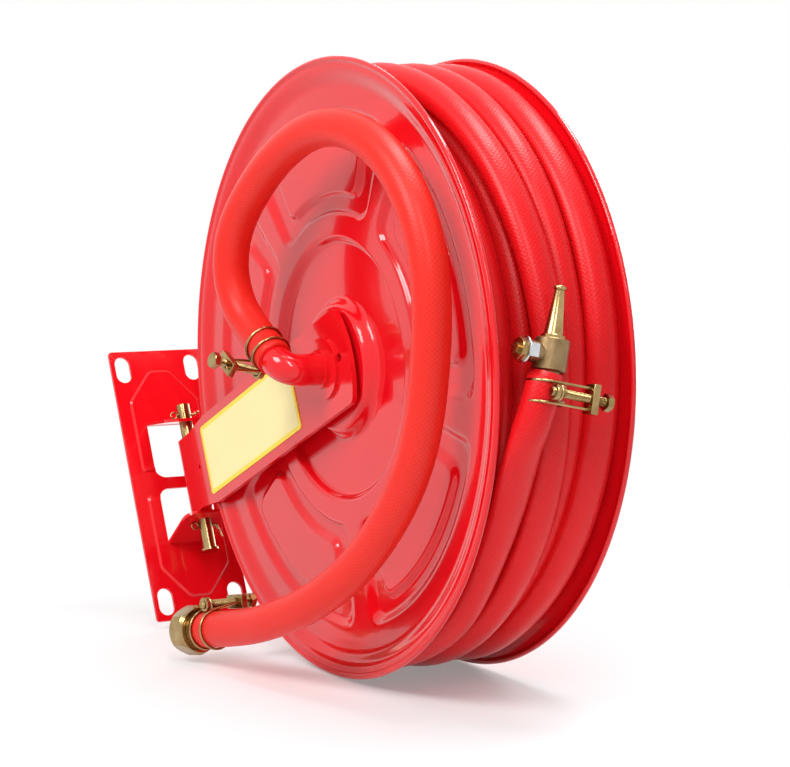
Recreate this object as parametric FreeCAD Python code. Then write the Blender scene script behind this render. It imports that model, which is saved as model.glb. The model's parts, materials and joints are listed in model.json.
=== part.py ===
import FreeCAD, Part
import math
import os
from FreeCAD import Matrix, Placement, Rotation, Vector

os.makedirs("parts", exist_ok=True)

# A swinging fire hose reel on its wall plate.  Millimetres and degrees.
# Row frame: origin at the centre of the wall plate's back face, +X along the
# reel's shaft from the front disc to the rear disc, +Y into the wall, +Z up
# along the hinge pin.  The arm stands square to the plate.

X_AXIS = Vector(1, 0, 0)
Y_AXIS = Vector(0, 1, 0)
Z_AXIS = Vector(0, 0, 1)

# ---------------------------------------------------------------- driving dimensions
# Wall plate
plate_width = 100.0
plate_height = 276.5
plate_t = 3.0
plate_corner_r = 3.0
slot_width = 16.0
slot_length = 27.0
slot_from_side = 12.5
slot_from_end = 19.0
window_width = 48.0
window_bar_half = 5.75
window_outer_z = 59.3
window_corner_r = 12.0
lug_length = 54.0
lug_tilt = 15.0
lug_corner_r = 12.0
bulge_height = 2.0
bulge_half_width = 37.0
bulge_low_z = 12.0
bulge_shoulder_z = 86.0
bulge_top_z = 117.0
bulge_top_half = 11.0
bulge_corner_r = 9.0

# Hinge pin and its split pins
pin_d = 13.0
pin_standoff = 39.6
pin_above = 10.0
pin_below = 24.0
pin_head_d = 17.0
pin_head_t = 2.0
pin_clear = 0.1
split_wire_d = 1.6
split_gap = 0.6
split_eye_r = 3.2
split_leg = 5.0
upper_leg_ends = (2.0, 4.0)
lower_leg_ends = (-14.0, -3.0)

# Swing arm
arm_t = 4.5
arm_width = 86.0
arm_root_width = 75.0
arm_length = 311.0
arm_tail = 47.0
arm_end_r = 90.0
arm_end_corner_r = 8.0
arm_taper_from = 61.0
arm_taper_to = 26.0
arm_drain_d = 7.5
arm_drain_from_hub = 29.5
arm_rivet_d = 4.0
arm_rivet_from_pin = 34.7
arm_to_reel = 1.5
lug_gap = 0.3

# Label plate
label_length = 199.0
label_width = 67.2
label_t = 0.8
label_from_hub = 60.0
label_corner_r = 4.0

# Shaft that carries the reel and brings the water in
shaft_d = 34.0
shaft_bore_d = 25.0
shaft_flange_d = 54.0
shaft_flange_t = 3.0
shaft_tail = 8.0
port_d = 10.0
port_count = 4
groove_depth = 2.4
groove_width = 3.6
ring_groove_depth = 1.5
running_gap = 0.05
press_gap = 0.02

# Reel
reel_d = 540.0
reel_width = 134.0
sheet_t = 1.5
bead_r = 2.5
rim_u = 1.5
rim_width = 10.5
rim_slope = 13.5
field_u = 7.0
field_from = 115.0
seat_u = 14.0
seat_to = 110.0
seat_from = 62.0
dome_u = 3.0
dome_to = 54.0
core_r = 106.0
core_t = 1.5
pocket_count = 5
pocket_first = 78.5
pocket_u = 12.0
pocket_from_rim = 43.0
pocket_mouth = (0.0, 92.0, 32.5, 15.0)
pocket_floor = (9.0, 80.0, 29.5, 12.0)
island_base = (17.0, 60.0, 25.0, 14.0)
island_top = (22.0, 51.0, 23.0, 12.0)
reel_turn = 24.1

# Hub of the reel
hub_d = 46.0
hub_flange_r = 50.0
hub_flange_t = 4.0
hub_end_gap = 0.5
bush_length = 16.0
bush_t = 3.0
chamber_length = 30.0
chamber_r = 20.0
seal_gap = 0.1
seal_offset = 21.0
washer_t = 2.0
washer_d = 46.0
boss_r = 17.0
boss_to = 32.0

# Hoses
feed_d = 32.0
feed_bore = 25.0
main_d = 27.0
main_bore = 19.0
bore_clear = 0.05
feed_barb = 24.0
main_barb = 24.0
turns_below_rim = 18.0
turns_from = 66.0
layer_step = 26.1
turn_stations = (31.0, 42.0, 66.0, 78.0, 86.0, 106.0, 102.0)
turnaround = 90.0
winding_gap = 0.5
clamp_play = 0.1

# Inlet elbow
elbow_d = 28.0
elbow_bore = 19.0
elbow_reach = 45.0
elbow_bend_r = 16.0
elbow_end = 23.5
elbow_angle = 52.0
elbow_collar_d = 34.0
elbow_collar_t = 4.0

# Outlet elbow inside the reel
outlet_d = 22.0
outlet_bore = 14.0
outlet_corner = 50.0
outlet_bend_r = 18.0
outlet_end = 24.0

# Wire hose clamps
wire_r = 1.15
wire_spacing = 16.6
clamp_bar_size = (12.5, 6.5, 24.0)
clamp_bar_y = 30.0
clamp_loop_y = -1.6
clamp_bolt_d = 7.6
clamp_head_flats = 12.5
clamp_head_t = 5.5
clamp_head_y = 42.0
clamp_tip_y = -9.0
clamp_nut_d = 13.0
clamp_nut_t = 3.6
clamp_bolt_gap = 0.6
clamp_eye_gap = 0.3
clamp_wire_bite = 0.2

# Inlet end: tail piece and swivel nut with a G1 pipe thread
thread_r = 15.15
nut_length = 22.0
nut_flats = 41.0
nut_round = 45.0
nut_back_t = 4.0
nut_relief_gap = 0.5
nut_bevel = 4.0
nut_bevel_in = 2.4
nut_neck_gap = 0.3
tail_collar_t = 4.0
tail_flange_d = 29.0
tail_flange_t = 3.0
tail_neck_d = 24.0
seal_ring_t = 2.5

# Jet nozzle with its plug valve
nozzle_start = (39.0, 279.5, 0.0)
nozzle_tip = (58.0, 283.8, 17.0)
clamp_from_end = 12.0
body_d = 28.0
body_from = 17.0
body_length = 26.0
body_neck_d = 19.0
jet_root_d = 15.6
jet_tip_d = 7.5
jet_lip_d = 10.5
jet_collar_t = 4.0
jet_bore_d = 6.0
plug_r = 8.0
plug_gap = 0.05
boss_d = 17.0
boss_length = 8.0
spindle_d = 9.0
lever_t = 2.0
lever_r = 11.0
lever_tab = (11.0, 7.0)
lever_nut_flats = 17.0
lever_nut_t = 5.0


# ---------------------------------------------------------------- derived places
plate_front = -plate_t
panel_front = plate_front - bulge_height
pin_y = plate_front - pin_standoff
pin_r = pin_d / 2
barrel_bore_r = pin_r + pin_clear
barrel_r = barrel_bore_r + arm_t
lug_rise = math.sin(math.radians(lug_tilt))
lug_run = math.cos(math.radians(lug_tilt))
barrel_low_z = -window_outer_z + lug_length * lug_rise + lug_gap
hub_z = barrel_low_z + arm_root_width / 2
arm_outer_u = -(arm_to_reel + arm_t)
hinge_u = arm_outer_u + barrel_r
hub = Vector(-hinge_u, pin_y - arm_length, hub_z)
shaft_r = shaft_d / 2
shaft_bore_r = shaft_bore_d / 2
reel_r = reel_d / 2
rim_from = reel_r - rim_width
field_to = rim_from - rim_slope
pocket_out_r = reel_r - pocket_from_rim
outer_turns_r = reel_r - turns_below_rim
lower_turns_r = outer_turns_r - layer_step
main_r = main_d / 2
hub_r = hub_d / 2
hub_low_u = hub_end_gap
hub_high_u = reel_width - hub_end_gap
hub_mid_u = reel_width / 2
ring_u = hub_high_u + washer_t
shaft_end_u = reel_width + shaft_tail
core_low_u = seat_u + sheet_t
core_high_u = reel_width - core_low_u

ARM = Placement(hub, Rotation())
REEL = Placement(hub, Rotation(X_AXIS, reel_turn))


# ---------------------------------------------------------------- shared tools
def save(node, solids, place=Placement()):
    """Writes one node; several solids stay separate in it."""
    moved = []
    for solid in solids:
        copy = solid.copy()
        copy.Placement = place.multiply(copy.Placement)
        moved.append(copy)
    shape = moved[0] if len(moved) == 1 else Part.makeCompound(moved)
    if not shape.isValid():
        print("not valid:", node)
    if len(shape.Solids) != len(solids):
        print("solids:", node, len(shape.Solids))
    shape.exportStep("parts/" + node + ".step")


def rod(radius, start, end):
    """Round bar between two points."""
    along = end - start
    return Part.makeCylinder(radius, along.Length, start, along)


def ring(outer_r, inner_r, start, end):
    """Tube between two points."""
    along = end - start
    over = Vector(along).normalize()
    return rod(outer_r, start, end).cut(rod(inner_r, start - over, end + over))


def box(x_range, y_range, z_range):
    size = [high - low for low, high in (x_range, y_range, z_range)]
    return Part.makeBox(*size, Vector(x_range[0], y_range[0], z_range[0]))


def turned(profile, axis):
    """Solid of revolution; profile holds (station along the axis, radius)."""
    if axis is X_AXIS:
        points = [Vector(station, radius, 0) for station, radius in profile]
    else:
        points = [Vector(radius, 0, station) for station, radius in profile]
    face = Part.Face(Part.makePolygon(points + points[:1]))
    return face.revolve(Vector(), axis, 360)


def rounded_wire(points, radii):
    """Closed outline through the points with a round corner at each of them."""
    edges = []
    count = len(points)
    joins = []
    for index, corner in enumerate(points):
        back = (points[index - 1] - corner).normalize()
        ahead = (points[(index + 1) % count] - corner).normalize()
        radius = radii[index] if isinstance(radii, (list, tuple)) else radii
        if radius == 0:
            joins.append((corner, None, corner))
            continue
        half = back.getAngle(ahead) / 2
        reach = radius / math.tan(half)
        centre = corner + (back + ahead).normalize() * (radius / math.sin(half))
        middle = centre - (back + ahead).normalize() * radius
        joins.append((corner + back * reach, middle, corner + ahead * reach))
    for index, (arc_start, middle, arc_end) in enumerate(joins):
        if middle is not None:
            edges.append(Part.Arc(arc_start, middle, arc_end).toShape())
        following = joins[(index + 1) % count][0]
        if arc_end.distanceToPoint(following) > 1e-6:
            edges.append(Part.makeLine(arc_end, following))
    return Part.Wire(edges)


def hexagon(flats, start, end, clock):
    """Hexagonal prism between two points; clock points to a corner."""
    along = Vector(end - start)
    direction = Vector(along).normalize()
    side = (clock - direction * clock.dot(direction)).normalize()
    other = direction.cross(side)
    corner_r = flats / math.sqrt(3)
    points = []
    for step in range(6):
        angle = math.radians(60 * step)
        points.append(start + side * (corner_r * math.cos(angle)) + other * (corner_r * math.sin(angle)))
    return Part.Face(Part.makePolygon(points + points[:1])).extrude(along)


def facing(origin, z_dir, x_hint):
    """Placement whose Z is z_dir and whose X is as near x_hint as it can be."""
    z = Vector(z_dir).normalize()
    x = (x_hint - z * x_hint.dot(z)).normalize()
    y = z.cross(x)
    return Placement(Matrix(x.x, y.x, z.x, origin.x,
                            x.y, y.y, z.y, origin.y,
                            x.z, y.z, z.z, origin.z,
                            0, 0, 0, 1))


def cord_wire(points, name):
    """Straight runs joined by tangent arcs, and the radii of those arcs."""
    edges = []
    radii = []
    start = points[0]
    for before, corner, after in zip(points, points[1:], points[2:]):
        back = before - corner
        ahead = after - corner
        reach = 0.45 * min(back.Length, ahead.Length)
        back.normalize()
        ahead.normalize()
        turn = math.pi - back.getAngle(ahead)
        radius = reach / math.tan(turn / 2)
        inward = (back + ahead).normalize()
        centre = corner + inward * math.hypot(radius, reach)
        arc_start = corner + back * reach
        arc_end = corner + ahead * reach
        edges.append(Part.makeLine(start, arc_start))
        edges.append(Part.Arc(arc_start, centre - inward * radius, arc_end).toShape())
        radii.append(radius)
        start = arc_end
    edges.append(Part.makeLine(start, points[-1]))
    wire = Part.Wire(edges)
    print(name, "length %.0f" % wire.Length, "radii", [round(radius) for radius in radii])
    return wire


def cord_tube(points, diameter, name):
    """Solid round hose along a route."""
    wire = cord_wire(points, name)
    circle = Part.Wire(Part.makeCircle(diameter / 2, points[0], points[1] - points[0]))
    tube = wire.makePipeShell([circle], True, False)
    share = tube.Volume / (math.pi * diameter ** 2 / 4 * wire.Length)
    print(name, "volume over section times length %.4f" % share)
    return tube


def bent_pipe(outer_r, inner_r, points, bend_r, overshoot):
    """Pipe through three points with one bend, bored right through."""
    first, corner, last = points
    back = (first - corner).normalize()
    ahead = (last - corner).normalize()
    half = back.getAngle(ahead) / 2
    reach = bend_r / math.tan(half)
    inward = (back + ahead).normalize()
    centre = corner + inward * (bend_r / math.sin(half))

    def sweep(radius, extra):
        start = first + back * extra
        end = last + ahead * extra
        path = Part.Wire([Part.makeLine(start, corner + back * reach),
                          Part.Arc(corner + back * reach, centre - inward * bend_r,
                                   corner + ahead * reach).toShape(),
                          Part.makeLine(corner + ahead * reach, end)])
        circle = Part.Wire(Part.makeCircle(radius, start, back * -1))
        return path.makePipeShell([circle], True, False)

    return sweep(outer_r, 0), sweep(inner_r, overshoot)


def barb(radius, start, direction, length, count=3):
    """Ribbed tail that holds a hose from inside; its ribs are cones."""
    pitch = length / count
    neck = radius - 0.8
    solid = rod(neck, start, start + direction * length)
    for step in range(count):
        low = start + direction * (pitch * step)
        solid = solid.fuse(Part.makeCone(radius, neck, pitch * 0.8, low, direction))
    return solid


# ---------------------------------------------------------------- wall bracket
def bulge_wire(y, inset):
    """Bell-shaped outline of the upper pressed bulge."""
    half = bulge_half_width - inset
    top = bulge_top_half - inset / 2
    points = [Vector(-half, y, bulge_low_z + inset), Vector(half, y, bulge_low_z + inset),
              Vector(half, y, bulge_shoulder_z - inset / 2), Vector(top, y, bulge_top_z - inset),
              Vector(-top, y, bulge_top_z - inset), Vector(-half, y, bulge_shoulder_z - inset / 2)]
    return rounded_wire(points, [4, 4, bulge_corner_r, bulge_corner_r, bulge_corner_r, bulge_corner_r])


def mirrored_z(shape):
    return shape.mirror(Vector(), Z_AXIS)


def upper_lug():
    """Tab bent out of the upper window, leaning down towards the pin."""
    half = window_width / 2
    root = Vector(0, panel_front, window_outer_z)
    out = Vector(0, -lug_run, -lug_rise)
    tip = root + out * lug_length
    corners = [root + X_AXIS * half - out * 1, tip + X_AXIS * half,
               tip - X_AXIS * half, root - X_AXIS * half - out * 1]
    wire = rounded_wire(corners, [0, lug_corner_r, lug_corner_r, 0])
    return Part.Face(wire).extrude(Vector(0, -lug_rise, lug_run) * plate_t)


def window_cut():
    half = window_width / 2
    points = [Vector(-half, 1, window_bar_half), Vector(half, 1, window_bar_half),
              Vector(half, 1, window_outer_z), Vector(-half, 1, window_outer_z)]
    wire = rounded_wire(points, [window_corner_r, window_corner_r, 0, 0])
    return Part.Face(wire).extrude(Vector(0, -10 - plate_t, 0))


def slot_cut(x, z):
    r = slot_width / 2
    reach = slot_length / 2 - r
    slot = box((x - r, x + r), (-plate_t - 1, 1), (z - reach, z + reach))
    for end in (z - reach, z + reach):
        slot = slot.fuse(rod(r, Vector(x, 1, end), Vector(x, -plate_t - 1, end)))
    return slot


def wall_plate():
    half_x = plate_width / 2
    half_z = plate_height / 2
    corners = [Vector(-half_x, 0, -half_z), Vector(half_x, 0, -half_z),
               Vector(half_x, 0, half_z), Vector(-half_x, 0, half_z)]
    plate = Part.Face(rounded_wire(corners, plate_corner_r)).extrude(Vector(0, plate_front, 0))
    raised = Part.makeLoft([bulge_wire(plate_front, 0), bulge_wire(panel_front, bulge_height)], True, True)
    hollow = raised.translated(Vector(0, plate_t, 0))
    plate = plate.fuse([raised, mirrored_z(raised)])
    plate = plate.cut([hollow, mirrored_z(hollow)])
    window = window_cut()
    plate = plate.cut([window, mirrored_z(window)])
    lug = upper_lug()
    plate = plate.fuse([lug, mirrored_z(lug)])
    slots = [slot_cut(side * (half_x - slot_from_side), end * (half_z - slot_from_end))
             for side in (-1, 1) for end in (-1, 1)]
    pin_hole = rod(barrel_bore_r, Vector(0, pin_y, -plate_height), Vector(0, pin_y, plate_height))
    save("wall_plate", [plate.cut(slots).cut(pin_hole).removeSplitter()])


lug_pin_z = window_outer_z - (panel_front - pin_y) * lug_rise / lug_run + plate_t / lug_run
split_r = split_wire_d / 2
split_above_z = lug_pin_z + lug_rise * pin_r / lug_run + split_gap + split_wire_d
split_below_z = -split_above_z
pin_top_z = split_above_z + pin_above
pin_low_z = split_below_z - pin_below


def pin_point(z, x=0.0, y=0.0):
    return Vector(x, pin_y + y, z)


def hinge_pin():
    pin = rod(pin_r, pin_point(pin_low_z), pin_point(pin_top_z))
    head = rod(pin_head_d / 2, pin_point(pin_low_z - pin_head_t), pin_point(pin_low_z))
    pin = pin.fuse(head).removeSplitter()
    for z in (split_above_z, split_below_z):
        across = rod(split_wire_d + press_gap, pin_point(z, -pin_d), pin_point(z, pin_d))
        pin = pin.cut(across)
    save("hinge_pin", [pin])


def split_pin(z, node, droop):
    """Doubled wire through the pin with an eye at one end and a bent leg."""
    reach = pin_r + split_leg
    body = rod(split_wire_d, pin_point(z, -pin_r - 1), pin_point(z, pin_r + 2))
    eye = Part.makeTorus(split_eye_r, split_r, pin_point(z, -pin_r - split_eye_r - 1.5), Y_AXIS)
    body = body.fuse(eye)
    for side in (-1, 1):
        start = pin_point(z, pin_r + 1.5, side * split_r)
        bend = pin_point(z, reach, side * split_r * 2)
        end = pin_point(z + droop[side > 0], reach + 2, side * (split_r * 3 + 2))
        body = body.fuse(rod(split_r, start, bend))
        body = body.fuse(Part.makeSphere(split_r, bend)).fuse(rod(split_r, bend, end))
    save(node, [body])


# ---------------------------------------------------------------- swing arm
def arm_point(from_hub, z, u=0.0):
    """Point in the arm's own coordinates: along the arm, up, and across it."""
    return Vector(u, from_hub, z)


def swing_arm():
    half = arm_width / 2
    root = arm_root_width / 2
    bulge = math.sqrt(arm_end_r ** 2 - half ** 2)
    tip_y = -arm_tail + arm_end_r - bulge
    outline = [arm_point(tip_y, -half), arm_point(arm_length - arm_taper_from, -half),
               arm_point(arm_length - arm_taper_to, -root), arm_point(arm_length, -root),
               arm_point(arm_length, root), arm_point(arm_length - arm_taper_to, root),
               arm_point(arm_length - arm_taper_from, half), arm_point(tip_y, half)]
    edges = [Part.makeLine(a, b) for a, b in zip(outline, outline[1:])]
    edges.append(Part.Arc(outline[-1], arm_point(-arm_tail, 0), outline[0]).toShape())
    sheet = Part.Face(Part.Wire(edges)).extrude(Vector(arm_t, 0, 0))
    corners = [edge for edge in sheet.Edges
               if abs(edge.Length - arm_t) < 1e-6 and edge.Vertexes[0].Point.y < tip_y + 1e-3]
    sheet = sheet.makeFillet(arm_end_corner_r, corners).translated(Vector(arm_outer_u, 0, 0))
    axis_low = arm_point(arm_length, -root, hinge_u)
    axis_high = arm_point(arm_length, root, hinge_u)
    sheet = sheet.fuse(rod(barrel_r, axis_low, axis_high))
    over = Z_AXIS * 5
    cuts = [rod(barrel_bore_r, axis_low - over, axis_high + over)]
    across = Vector(30, 0, 0)
    for place, diameter in ((arm_point(0, 0), shaft_d + 2 * press_gap),
                            (arm_point(-arm_drain_from_hub, 0), arm_drain_d),
                            (arm_point(arm_length - arm_rivet_from_pin, 0), arm_rivet_d)):
        cuts.append(rod(diameter / 2, place - across, place + Vector(-arm_to_reel / 2, 0, 0)))
    save("swing_arm", [sheet.cut(cuts).removeSplitter()], ARM)


def label_plate():
    half = label_width / 2
    near = label_from_hub
    far = near + label_length
    corners = [arm_point(near, -half), arm_point(far, -half), arm_point(far, half), arm_point(near, half)]
    plate = Part.Face(rounded_wire(corners, label_corner_r)).extrude(Vector(label_t, 0, 0))
    save("label_plate", [plate.translated(Vector(arm_outer_u - label_t, 0, 0))], ARM)


# ---------------------------------------------------------------- shaft and bearings
def at_u(u):
    return Vector(u, 0, 0)


seal_stations = (hub_mid_u - seal_offset, hub_mid_u + seal_offset)
bush_inner_r = shaft_r + running_gap
bush_outer_r = bush_inner_r + bush_t
seal_bore_r = shaft_r + seal_gap
groove_r = shaft_r - groove_depth
ring_groove_r = shaft_r - ring_groove_depth


def inlet_shaft():
    shaft = rod(shaft_r, at_u(arm_outer_u), at_u(shaft_end_u))
    shaft = shaft.fuse(rod(shaft_flange_d / 2, at_u(arm_outer_u - shaft_flange_t), at_u(arm_outer_u)))
    cuts = [rod(shaft_bore_r, at_u(-elbow_reach), at_u(shaft_end_u + 1))]
    for station in seal_stations:
        low = at_u(station - groove_width / 2)
        cuts.append(ring(shaft_r + 1, groove_r, low, low + X_AXIS * groove_width))
    cuts.append(ring(shaft_r + 1, ring_groove_r, at_u(ring_u), at_u(ring_u + washer_t)))
    for step in range(port_count):
        turn = Rotation(X_AXIS, 360 * step / port_count)
        cuts.append(rod(port_d / 2, at_u(hub_mid_u), at_u(hub_mid_u) + turn.multVec(Y_AXIS) * shaft_d))
    save("inlet_shaft", [shaft.cut(cuts).removeSplitter()], ARM)


def small_rings():
    section = (seal_bore_r - groove_r) / 2 - press_gap
    seals = [Part.makeTorus(groove_r + press_gap + section, section, at_u(station), X_AXIS)
             for station in seal_stations]
    save("shaft_seals", seals, ARM)
    low = arm_outer_u + arm_t
    save("front_thrust_washer", [ring(washer_d / 2, shaft_r + running_gap, at_u(low), at_u(hub_low_u))], ARM)
    save("rear_thrust_washer",
         [ring(washer_d / 2, shaft_r + running_gap, at_u(hub_high_u), at_u(ring_u))], ARM)
    clip = ring(shaft_r + 3, ring_groove_r, at_u(ring_u), at_u(ring_u + washer_t))
    mouth = box((ring_u - 1, ring_u + washer_t + 1), (-6, 6), (-washer_d, 0))
    save("retaining_ring", [clip.cut(mouth)], ARM)
    plug = rod(shaft_bore_r - press_gap, at_u(shaft_end_u - 12), at_u(shaft_end_u))
    plug = plug.fuse(rod(shaft_r, at_u(shaft_end_u), at_u(shaft_end_u + 3)))
    save("shaft_end_plug", [plug.removeSplitter()], ARM)


# ---------------------------------------------------------------- inlet elbow and feed hose
elbow_out = Vector(0, math.cos(math.radians(elbow_angle)), math.sin(math.radians(elbow_angle)))
elbow_corner = at_u(-elbow_reach)
feed_start = elbow_corner + elbow_out * elbow_end
nut_axis = Vector(-0.1412, 0.9578, 0.2500).normalize()
feed_end = Vector(-75.0, 189.5, -177.6)

# Route of the feed hose, from the elbow over the reel's face to the swivel nut
feed_route = [feed_start,
              feed_start + elbow_out * 46,
              Vector(-50, 52, 83),
              Vector(-53, 46, 119),
              Vector(-51, 15, 152),
              Vector(-44, -64, 176),
              Vector(-37, -140, 170),
              Vector(-30, -203, 126),
              Vector(-26, -235, 58),
              Vector(-25, -232, -16),
              Vector(-28, -184, -107),
              Vector(-34, -137, -155),
              Vector(-42, -59, -190),
              Vector(-53, 14, -202),
              Vector(-62, 78, -200),
              feed_end - nut_axis * 56,
              feed_end]


def inlet_elbow():
    flange_u = arm_outer_u - shaft_flange_t
    points = [at_u(flange_u), elbow_corner, feed_start]
    body, bore = bent_pipe(elbow_d / 2, elbow_bore / 2, points, elbow_bend_r, 30)
    barb_r = feed_bore / 2 - bore_clear
    body = body.fuse([barb(barb_r, feed_start, elbow_out, feed_barb),
                      rod(elbow_collar_d / 2, at_u(flange_u - elbow_collar_t), at_u(flange_u)),
                      rod(shaft_bore_r - press_gap, at_u(flange_u), at_u(flange_u + 14))])
    save("inlet_elbow", [body.cut(bore)], ARM)


def feed_hose():
    hose = cord_tube(feed_route, feed_d, "feed hose")
    hose = hose.cut([rod(feed_bore / 2, feed_start - elbow_out, feed_start + elbow_out * (feed_barb + 1)),
                     rod(feed_bore / 2, feed_end + nut_axis, feed_end - nut_axis * (feed_barb + 1))])
    save("inlet_hose", [hose], ARM)


nut_low = feed_end + nut_axis * (tail_collar_t + nut_relief_gap)
nut_high = nut_low + nut_axis * nut_length
nut_seat = nut_low + nut_axis * nut_back_t
thread_low = nut_seat + nut_axis * (tail_flange_t + seal_ring_t + nut_relief_gap)


def tail_piece():
    """Ribbed tail, collar and flange that the swivel nut pulls on to its pipe."""
    barb_r = feed_bore / 2 - bore_clear
    collar_end = feed_end + nut_axis * tail_collar_t
    flange_low = nut_seat + nut_axis * nut_relief_gap / 2
    flange_high = flange_low + nut_axis * tail_flange_t
    body = barb(barb_r, feed_end, nut_axis * -1, feed_barb)
    body = body.fuse([rod(feed_d / 2 + 1, feed_end, collar_end),
                      rod(tail_neck_d / 2, collar_end, flange_low),
                      rod(tail_flange_d / 2, flange_low, flange_high)])
    bore = rod(elbow_bore / 2, feed_end - nut_axis * 40, feed_end + nut_axis * 40)
    save("tail_piece", [body.cut(bore)], ARM)
    washer_end = flange_high + nut_axis * seal_ring_t
    save("sealing_washer", [ring(tail_flange_d / 2, elbow_bore / 2, flange_high, washer_end)], ARM)


def swivel_nut():
    """Hexagon with turned faces, a back wall round the neck and a pipe thread."""
    prism = hexagon(nut_flats, nut_low, nut_high, Z_AXIS)
    low_cone = Part.makeCone(nut_round / 2 - nut_bevel_in, nut_round / 2, nut_bevel, nut_low, nut_axis)
    mid = rod(nut_round / 2, nut_low + nut_axis * nut_bevel, nut_high - nut_axis * nut_bevel)
    high_cone = Part.makeCone(nut_round / 2, nut_round / 2 - nut_bevel_in, nut_bevel,
                              nut_high - nut_axis * nut_bevel, nut_axis)
    prism = prism.common(low_cone.fuse([mid, high_cone]))
    cuts = [rod(thread_r, thread_low, nut_high + nut_axis),
            rod(thread_r + nut_relief_gap, nut_seat, thread_low),
            rod(tail_neck_d / 2 + nut_neck_gap, nut_low - nut_axis, nut_high)]
    save("swivel_nut", [prism.cut(cuts)], ARM)


# ---------------------------------------------------------------- pressed side discs
def sector_wire(u, size):
    """Rounded ring sector in the plane at u, its middle towards +Y."""
    outer_in, width, half_degrees, corner_r = size
    outer_r = pocket_out_r - outer_in
    inner_r = outer_r - width
    half = math.radians(half_degrees)

    def spot(radius, angle):
        return Vector(u, radius * math.cos(angle), radius * math.sin(angle))

    def corner(rim_r, inward, side):
        """Touch point on the rim, middle of the corner arc, touch point on the side."""
        centre_r = rim_r - inward * corner_r
        angle = side * (half - math.asin(corner_r / centre_r))
        centre = spot(centre_r, angle)
        on_rim = spot(rim_r, angle)
        on_side = spot(math.sqrt(centre_r ** 2 - corner_r ** 2), side * half)
        away = ((on_rim - centre) + (on_side - centre)).normalize()
        return on_rim, centre + away * corner_r, on_side

    outer_high = corner(outer_r, 1, 1)
    outer_low = corner(outer_r, 1, -1)
    inner_high = corner(inner_r, -1, 1)
    inner_low = corner(inner_r, -1, -1)
    return Part.Wire([Part.Arc(*outer_high).toShape(),
                      Part.makeLine(outer_high[2], inner_high[2]),
                      Part.Arc(*reversed(inner_high)).toShape(),
                      Part.Arc(inner_high[0], spot(inner_r, 0), inner_low[0]).toShape(),
                      Part.Arc(*inner_low).toShape(),
                      Part.makeLine(inner_low[2], outer_low[2]),
                      Part.Arc(*reversed(outer_low)).toShape(),
                      Part.Arc(outer_low[0], spot(outer_r, 0), outer_high[0]).toShape()])


def disc_block(shift, rim_r):
    """Everything behind the disc's outer surface, which is moved back by shift."""
    deep = 40.0
    face = [(dome_u, 0), (dome_u, dome_to), (seat_u, seat_from), (seat_u, seat_to), (field_u, field_from),
            (field_u, field_to), (rim_u, rim_from), (rim_u, rim_r)]
    profile = [(u + shift, radius) for u, radius in face]
    block = turned(profile + [(deep, rim_r), (deep, 0)], X_AXIS)
    hollow = Part.makeLoft([sector_wire(field_u + shift, pocket_mouth),
                            sector_wire(pocket_u + shift, pocket_floor)], True, True)
    island = Part.makeLoft([sector_wire(pocket_u + shift, island_base),
                            sector_wire(field_u + shift, island_top)], True, True)
    pocket = hollow.cut(island)
    pockets = []
    for step in range(pocket_count):
        copy = pocket.copy()
        copy.rotate(Vector(), X_AXIS, pocket_first + 360 * step / pocket_count)
        pockets.append(copy)
    return block.cut(pockets)


def disc():
    bead_ring_r = reel_r - bead_r
    sheet = disc_block(0, bead_ring_r).cut(disc_block(sheet_t, bead_ring_r + 1))
    bead = Part.makeTorus(bead_ring_r, bead_r, at_u(bead_r), X_AXIS)
    return sheet.fuse(bead).cut(rod(hub_r, at_u(-1), at_u(60)))


def side_discs():
    front = disc()
    rear = front.mirror(at_u(hub_mid_u), X_AXIS)
    save("front_disc", [front], REEL)
    save("rear_disc", [rear], REEL)


# ---------------------------------------------------------------- hub, core and outlet
outlet_up = Z_AXIS
outlet_along = Y_AXIS
outlet_root = at_u(hub_mid_u) + outlet_up * (boss_to - 6)
outlet_bend = at_u(hub_mid_u) + outlet_up * outlet_corner
hose_root_start = outlet_bend + outlet_along * outlet_end
hose_root_length = math.sqrt(core_r ** 2 - (outlet_corner - main_d / 2) ** 2) - outlet_end + 1
hose_root_end = hose_root_start + outlet_along * hose_root_length


def hub_sleeve():
    low = at_u(hub_low_u)
    high = at_u(hub_high_u)
    sleeve = rod(hub_r, low, high)
    flange_low = dome_u + sheet_t
    for start in (flange_low, reel_width - flange_low - hub_flange_t):
        sleeve = sleeve.fuse(rod(hub_flange_r, at_u(start), at_u(start + hub_flange_t)))
    sleeve = sleeve.fuse(rod(boss_r, at_u(hub_mid_u), at_u(hub_mid_u) + outlet_up * boss_to))
    chamber_low = at_u(hub_mid_u - chamber_length / 2)
    chamber_high = at_u(hub_mid_u + chamber_length / 2)
    cuts = [rod(seal_bore_r, low - X_AXIS, high + X_AXIS),
            rod(chamber_r, chamber_low, chamber_high),
            rod(bush_outer_r + press_gap, low - X_AXIS, low + X_AXIS * bush_length),
            rod(bush_outer_r + press_gap, high - X_AXIS * bush_length, high + X_AXIS),
            rod(outlet_bore / 2, at_u(hub_mid_u), at_u(hub_mid_u) + outlet_up * (boss_to + 1)),
            rod(outlet_d / 2 + press_gap, outlet_root, outlet_root + outlet_up * 10)]
    save("hub_sleeve", [sleeve.cut(cuts).removeSplitter()], REEL)
    inset = 0.2
    for node, start in (("front_bush", hub_low_u + inset), ("rear_bush", hub_high_u - bush_length)):
        bush = ring(bush_outer_r, bush_inner_r, at_u(start), at_u(start + bush_length - inset))
        save(node, [bush], REEL)


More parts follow.
